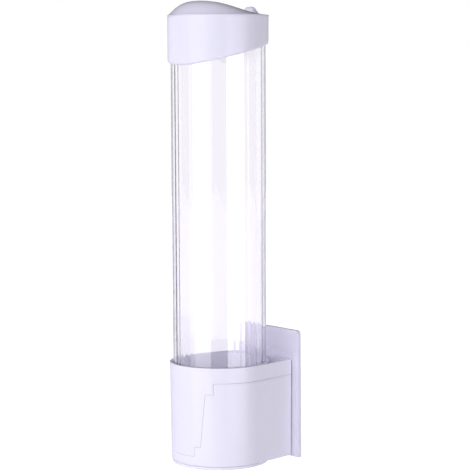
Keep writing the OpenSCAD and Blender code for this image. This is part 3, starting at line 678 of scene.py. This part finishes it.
# Posts in the housing's rear corners that carry the claw carrier, and blocks for the rear cover's screws
lean = math.radians(wallShape["taper"])
cornerX = (wallShape["foot"] - backY * math.sin(lean)) / math.cos(lean)
postShape = {"in": 4.2, "behind": 12, "radius": 3.4, "low": 1.0, "high": 43.2, "ease": 0.3, "columns": 48}
blockShape = {"in": 5.2, "edge": 9.7, "width": 8.0, "depth": 8.0, "cover": 2.4, "wallGap": 0.9, "ease": 0.4,
              "endEase": 0.3}


def post(side, shape):
    # A round post turned about its own upright axis, closed at its foot and its eased top
    x, y = side * (cornerX - shape["in"]), backY - shape["behind"]
    radius, low, high, e = (shape[key] for key in ("radius", "low", "high", "ease"))
    turn = np.linspace(0, 2 * np.pi, shape["columns"], endpoint=False)
    profile = np.array([[0, low], [radius, low], [radius, high - e], [radius - e, high], [0, high]])
    away, height = profile[:, :1], profile[:, 1:] + 0 * turn
    points = np.stack([x + away * np.cos(turn), y + away * np.sin(turn), height], -1)
    return gridIsland(points, closeColumns=True)


def coverBlocks(shape):
    # An eased rectangle carried along x in each of the four rear corners
    blocks = []
    half, behind = shape["width"] / 2, backY - shape["cover"]
    front = behind - shape["depth"]
    for side in (-1, 1):
        for z in (shape["edge"], mouthZ - shape["edge"]):
            corners = [[front, z - half], [behind, z - half], [behind, z + half], [front, z + half]]
            low, high = sorted((side * (cornerX - shape["in"] - half), side * (cornerX - shape["wallGap"])))
            blocks.append(barAlongX(easedLoop(corners, shape["ease"], 4), low, high, shape["endEase"]))
    return blocks


housingIslands = [housingWall(wallShape, collarShape, recessShape), housingFloor(wallShape, floorShape),
                  socketRing(wallShape), post(1, postShape), post(-1, postShape)] + coverBlocks(blockShape)
makePiece("housing", housingIslands, shellPlastic, "base", ("housing_shell",))


def frontCollar(wall, collar):
    # The same wall grid at the outline itself, kept where no corner lies beyond it, then given its thickness
    toeZ, endZ, stepZ, bandZ = collarHeights(collar)
    coarse, fine = wall["rowSteps"]
    heights = np.concatenate([spread(toeZ, endZ, coarse), spread(endZ, stepZ, coarse)[1:],
                              spread(stepZ, bandZ, fine)[1:], spread(bandZ, mouthZ, fine)[1:]])
    x, y, z = wallGrid(heights, np.zeros(len(heights)), [0.0], wall, collar)
    points = np.stack([x, y, z + 0 * x], -1)
    beyond = beyondCollar(x, z + 0 * x, collar).ravel()
    faces = gridFaces(*x.shape)
    faces = faces[(beyond[faces] < collar["slack"]).all(axis=1)]
    used = np.unique(faces)
    renumber = np.zeros(points.shape[0] * points.shape[1], int)
    renumber[used] = np.arange(len(used))
    return points.reshape(-1, 3)[used], renumber[faces].tolist()


collarIslands = [frontCollar(wallShape, collarShape)]
collarPiece = makePiece("frontCollar", collarIslands, shellPlastic, "base", ("front_collar",),
                        creaseAngle=60)
thicken = collarPiece.modifiers.new("wall", "SOLIDIFY")
thicken.thickness, thicken.offset, thicken.use_even_offset = collarShape["thick"] * mm, -1, True
easeEdges(collarPiece, collarShape["edge"], 50)
print("stage: housing and front collar made")

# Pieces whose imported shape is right, with merged faces and edges eased by the last number in mm
softened("outletRing", "outlet_ring", shellPlastic, "base", 0.3)
softened("rearCover", "rear_cover", platePlastic, "base", 0.25)
softened("wallPlate", "wall_plate", platePlastic, "wall_bracket", 0.45)
softened("clawCarrier", "claw_carrier", innerPlastic, "base", 0.25)
softened("lidPin", "lid_pin", steel, "tube", 0.2)
softened("rearCoverScrews", "rear_cover_screws", steel, "base", 0.15)
softened("carrierScrews", "carrier_screws", steel, "base", 0.25)
softened("mountingTape", "mounting_tape", foam, "wall_bracket", 0.15)
for number in (1, 2, 3, 4):
    softened(f"claw{number}", f"claw_{number}", clawPlastic, f"claw_{number}", 0.25)
    softened(f"clawPin{number}", f"claw_pin_{number}", steel, "base", 0.12)
    spring = softened(f"clawSpring{number}", f"claw_spring_{number}", steel, None, 0)
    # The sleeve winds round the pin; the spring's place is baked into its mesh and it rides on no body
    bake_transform(spring)
print("stage: inner pieces made")

# Floor, studio and camera
view = {"azimuth": 52.3, "distance": 1.6031, "height": 0.3670, "turn": -0.532, "pitch": 5.543,
        "roll": -0.28, "lens": 131.66, "sensor": 36, "near": 0.05, "far": 60}


def makeCamera(look):
    a, h = math.radians(look["azimuth"]), math.radians(look["azimuth"] + look["turn"])
    p, r = math.radians(look["pitch"]), math.radians(look["roll"])
    forward = Vector((-math.sin(h) * math.cos(p), math.cos(h) * math.cos(p), -math.sin(p)))
    right = Vector((math.cos(h), math.sin(h), 0))
    up = right.cross(forward)
    rolledRight, rolledUp = math.cos(r) * right + math.sin(r) * up, -math.sin(r) * right + math.cos(r) * up
    camera = bpy.data.cameras.new("photo view")
    camera.sensor_width, camera.lens = look["sensor"], look["lens"]
    camera.clip_start, camera.clip_end = look["near"], look["far"]
    holder = bpy.data.objects.new("camera", camera)
    bpy.context.scene.collection.objects.link(holder)
    turned = Matrix((rolledRight, rolledUp, -forward)).transposed().to_4x4()
    away = look["distance"]
    spot = Vector((away * math.sin(a), axisY - away * math.cos(a), footZ + look["height"]))
    holder.matrix_world = Matrix.Translation(spot) @ turned
    bpy.context.scene.camera = holder


makeCamera(view)

# Room light round the object, in degrees from the camera's side: an even belt, a raised light at the front
# left, a brighter part behind that dims towards the rear, and a dim ceiling
studio = {"belt": 0.36, "beltTint": (0.895, 0.882, 1.0), "behind": (0.85, 0.9),
          "behindTint": (0.95, 0.945, 1.0), "behindStart": 90, "behindEnd": 118, "behindTop": (0.5, 7.5),
          "behindChange": (-20, 20), "rear": 0.34, "rearStart": 150, "rearEnd": 168, "frontTurn": -56,
          "frontStart": 42, "frontEnd": 76, "front": 2.3, "frontLow": (10.0, 18.0),
          "frontHigh": (44.0, 58.0), "ceiling": 0.02, "rearCeiling": (2.0, 12.0), "through": 1.03}


def makeStudio(look):
    world = bpy.data.worlds.new("studio")
    bpy.context.scene.world = world
    world.use_nodes = True
    tree = world.node_tree
    tree.nodes.clear()
    a = math.radians(view["azimuth"])
    way = addNode(tree, "TexCoord").outputs["Generated"]

    def along(axis):
        return addNode(tree, "VectorMath", {0: way, 1: axis}, operation="DOT_PRODUCT").outputs["Value"]

    side, near = along((math.cos(a), math.sin(a), 0)), along((math.sin(a), -math.cos(a), 0))
    up = along((0, 0, 1))
    turn = calc(tree, "MULTIPLY", calc(tree, "ARCTAN2", side, near), 180 / math.pi)
    rise = calc(tree, "MULTIPLY", calc(tree, "ARCSINE", up), 180 / math.pi)
    away = calc(tree, "ABSOLUTE", turn)
    under = calc(tree, "SUBTRACT", 1.0, smoothRamp(tree, rise, *look["behindTop"]))
    behind = calc(tree, "MULTIPLY", smoothRamp(tree, away, look["behindStart"], look["behindEnd"]), under)
    rearShare = smoothRamp(tree, away, look["rearStart"], look["rearEnd"])
    # The belt all round, with the raised light in it on the front's left
    raised = mixValue(tree, smoothRamp(tree, rise, *look["frontLow"]), look["belt"], look["front"])
    frontLight = mixValue(tree, smoothRamp(tree, rise, *look["frontHigh"]), raised, look["ceiling"])
    rearLight = mixValue(tree, smoothRamp(tree, rise, *look["rearCeiling"]), look["belt"], look["ceiling"])
    fromFront = calc(tree, "ABSOLUTE", calc(tree, "SUBTRACT", turn, look["frontTurn"]))
    rearSide = smoothRamp(tree, fromFront, look["frontStart"], look["frontEnd"])
    belt = mixValue(tree, rearSide, frontLight, rearLight)
    ambient = addNode(tree, "Background", {"Color": (*look["beltTint"], 1), "Strength": belt})
    # The part behind, which dims towards the rear
    across = mixValue(tree, smoothRamp(tree, turn, *look["behindChange"]), *look["behind"])
    strength = mixValue(tree, rearShare, across, look["rear"])
    rear = addNode(tree, "Background", {"Color": (*look["behindTint"], 1), "Strength": strength})
    around = addNode(tree, "MixShader", {0: behind, 1: ambient.outputs[0], 2: rear.outputs[0]})
    # The camera sees plain white, straight or through the tube
    path = addNode(tree, "LightPath").outputs
    white = mixValue(tree, path["Is Transmission Ray"], 1.0, look["through"])
    plain = addNode(tree, "Background", {"Color": (1, 1, 1, 1), "Strength": white})
    seen = calc(tree, "MAXIMUM", path["Is Camera Ray"], path["Is Transmission Ray"])
    mix = addNode(tree, "MixShader", {0: seen, 1: around.outputs[0], 2: plain.outputs[0]})
    tree.links.new(mix.outputs[0], addNode(tree, "OutputWorld").inputs[0])


makeStudio(studio)

# Two soft boxes, left and right of the camera: turn from it, distance, height over the middle, size, power
# and colour
softBoxes = {"left box": {"turn": -44, "distance": 1.2, "rise": 0.04, "size": (0.99, 1.05), "power": 3.2,
                          "colour": (0.97, 0.968, 1.0)},
             "right box": {"turn": 42, "distance": 1.2, "rise": 0.0, "size": (0.96, 0.95), "power": 4.5,
                           "colour": (0.95, 0.94, 1.0)}}


def makeBox(name, look):
    a = math.radians(view["azimuth"] + look["turn"])
    lamp = bpy.data.lights.new(name, "AREA")
    lamp.shape, lamp.size, lamp.size_y = "RECTANGLE", look["size"][0], look["size"][1]
    lamp.energy, lamp.color = look["power"], look["colour"]
    holder = bpy.data.objects.new(name, lamp)
    bpy.context.scene.collection.objects.link(holder)
    middle = Vector((0, axisY, footZ + seamZ * mm / 2 + look["rise"]))
    away = Vector((math.sin(a), -math.cos(a), 0))
    turned = away.to_track_quat("Z", "Y").to_matrix().to_4x4()
    holder.matrix_world = Matrix.Translation(middle + away * look["distance"]) @ turned


for name, look in softBoxes.items():
    makeBox(name, look)

floorLook = {"drop": 0.30, "half": 6.0, "glow": 0.92, "through": 0.74, "bounce": 0.16, "mirror": 0.40,
             "bounceTint": (0.87, 0.855, 1.0), "darkTone": (0.80, 0.80, 0.82),
             "lightTone": (0.83, 0.83, 0.845), "cloudScale": 3.0, "cloudDetail": 3.0}


def makeFloor(look):
    # Seen by the camera it glows almost white and still takes the object's shadow, and it throws some light
    # up to the object. From below it is open
    x = np.array([-1, 1, 1, -1]) * look["half"]
    y = np.array([-1, -1, 1, 1]) * look["half"]
    mesh = bpy.data.meshes.new("studioFloor")
    corners = np.stack([x, y + axisY, np.full(4, footZ - look["drop"])], -1)
    mesh.from_pydata(corners.tolist(), [], [[0, 1, 2, 3]])
    material, tree = newMaterial("pale studio floor")
    path = addNode(tree, "LightPath").outputs
    seen = calc(tree, "MAXIMUM", path["Is Camera Ray"], path["Is Transmission Ray"])
    inside = addNode(tree, "TexCoord").outputs["Object"]
    clouds = {"Vector": inside, "Scale": look["cloudScale"], "Detail": look["cloudDetail"]}
    cloud = addNode(tree, "TexNoise", clouds).outputs["Fac"]
    colour = mixColour(tree, cloud, (*look["darkTone"], 1), (*look["lightTone"], 1))
    matt = addNode(tree, "BsdfDiffuse", {"Color": colour})
    tint = mixColour(tree, seen, (*look["bounceTint"], 1), (1, 1, 1, 1))
    notThrough = calc(tree, "SUBTRACT", 1.0, path["Is Transmission Ray"])
    mirrored = calc(tree, "MULTIPLY", path["Is Glossy Ray"], notThrough)
    shares = {"glow": path["Is Camera Ray"], "through": path["Is Transmission Ray"], "mirror": mirrored}
    strength = look["bounce"]
    for key, share in shares.items():
        strength = calc(tree, "ADD", calc(tree, "MULTIPLY", share, look[key] - look["bounce"]), strength)
    glow = addNode(tree, "Emission", {"Color": tint, "Strength": strength})
    lit = addNode(tree, "AddShader", {0: matt.outputs[0], 1: glow.outputs[0]})
    fromBelow, clear = addNode(tree, "NewGeometry").outputs["Backfacing"], addNode(tree, "BsdfTransparent")
    under = addNode(tree, "MixShader", {0: fromBelow, 1: lit.outputs[0], 2: clear.outputs[0]})
    tree.links.new(under.outputs[0], addNode(tree, "OutputMaterial").inputs[0])
    mesh.materials.append(material)
    floor = bpy.data.objects.new("studioFloor", mesh)
    bpy.context.scene.collection.objects.link(floor)


makeFloor(floorLook)
bpy.context.scene.view_settings.view_transform = "Standard"
print("stage: studio and camera made")
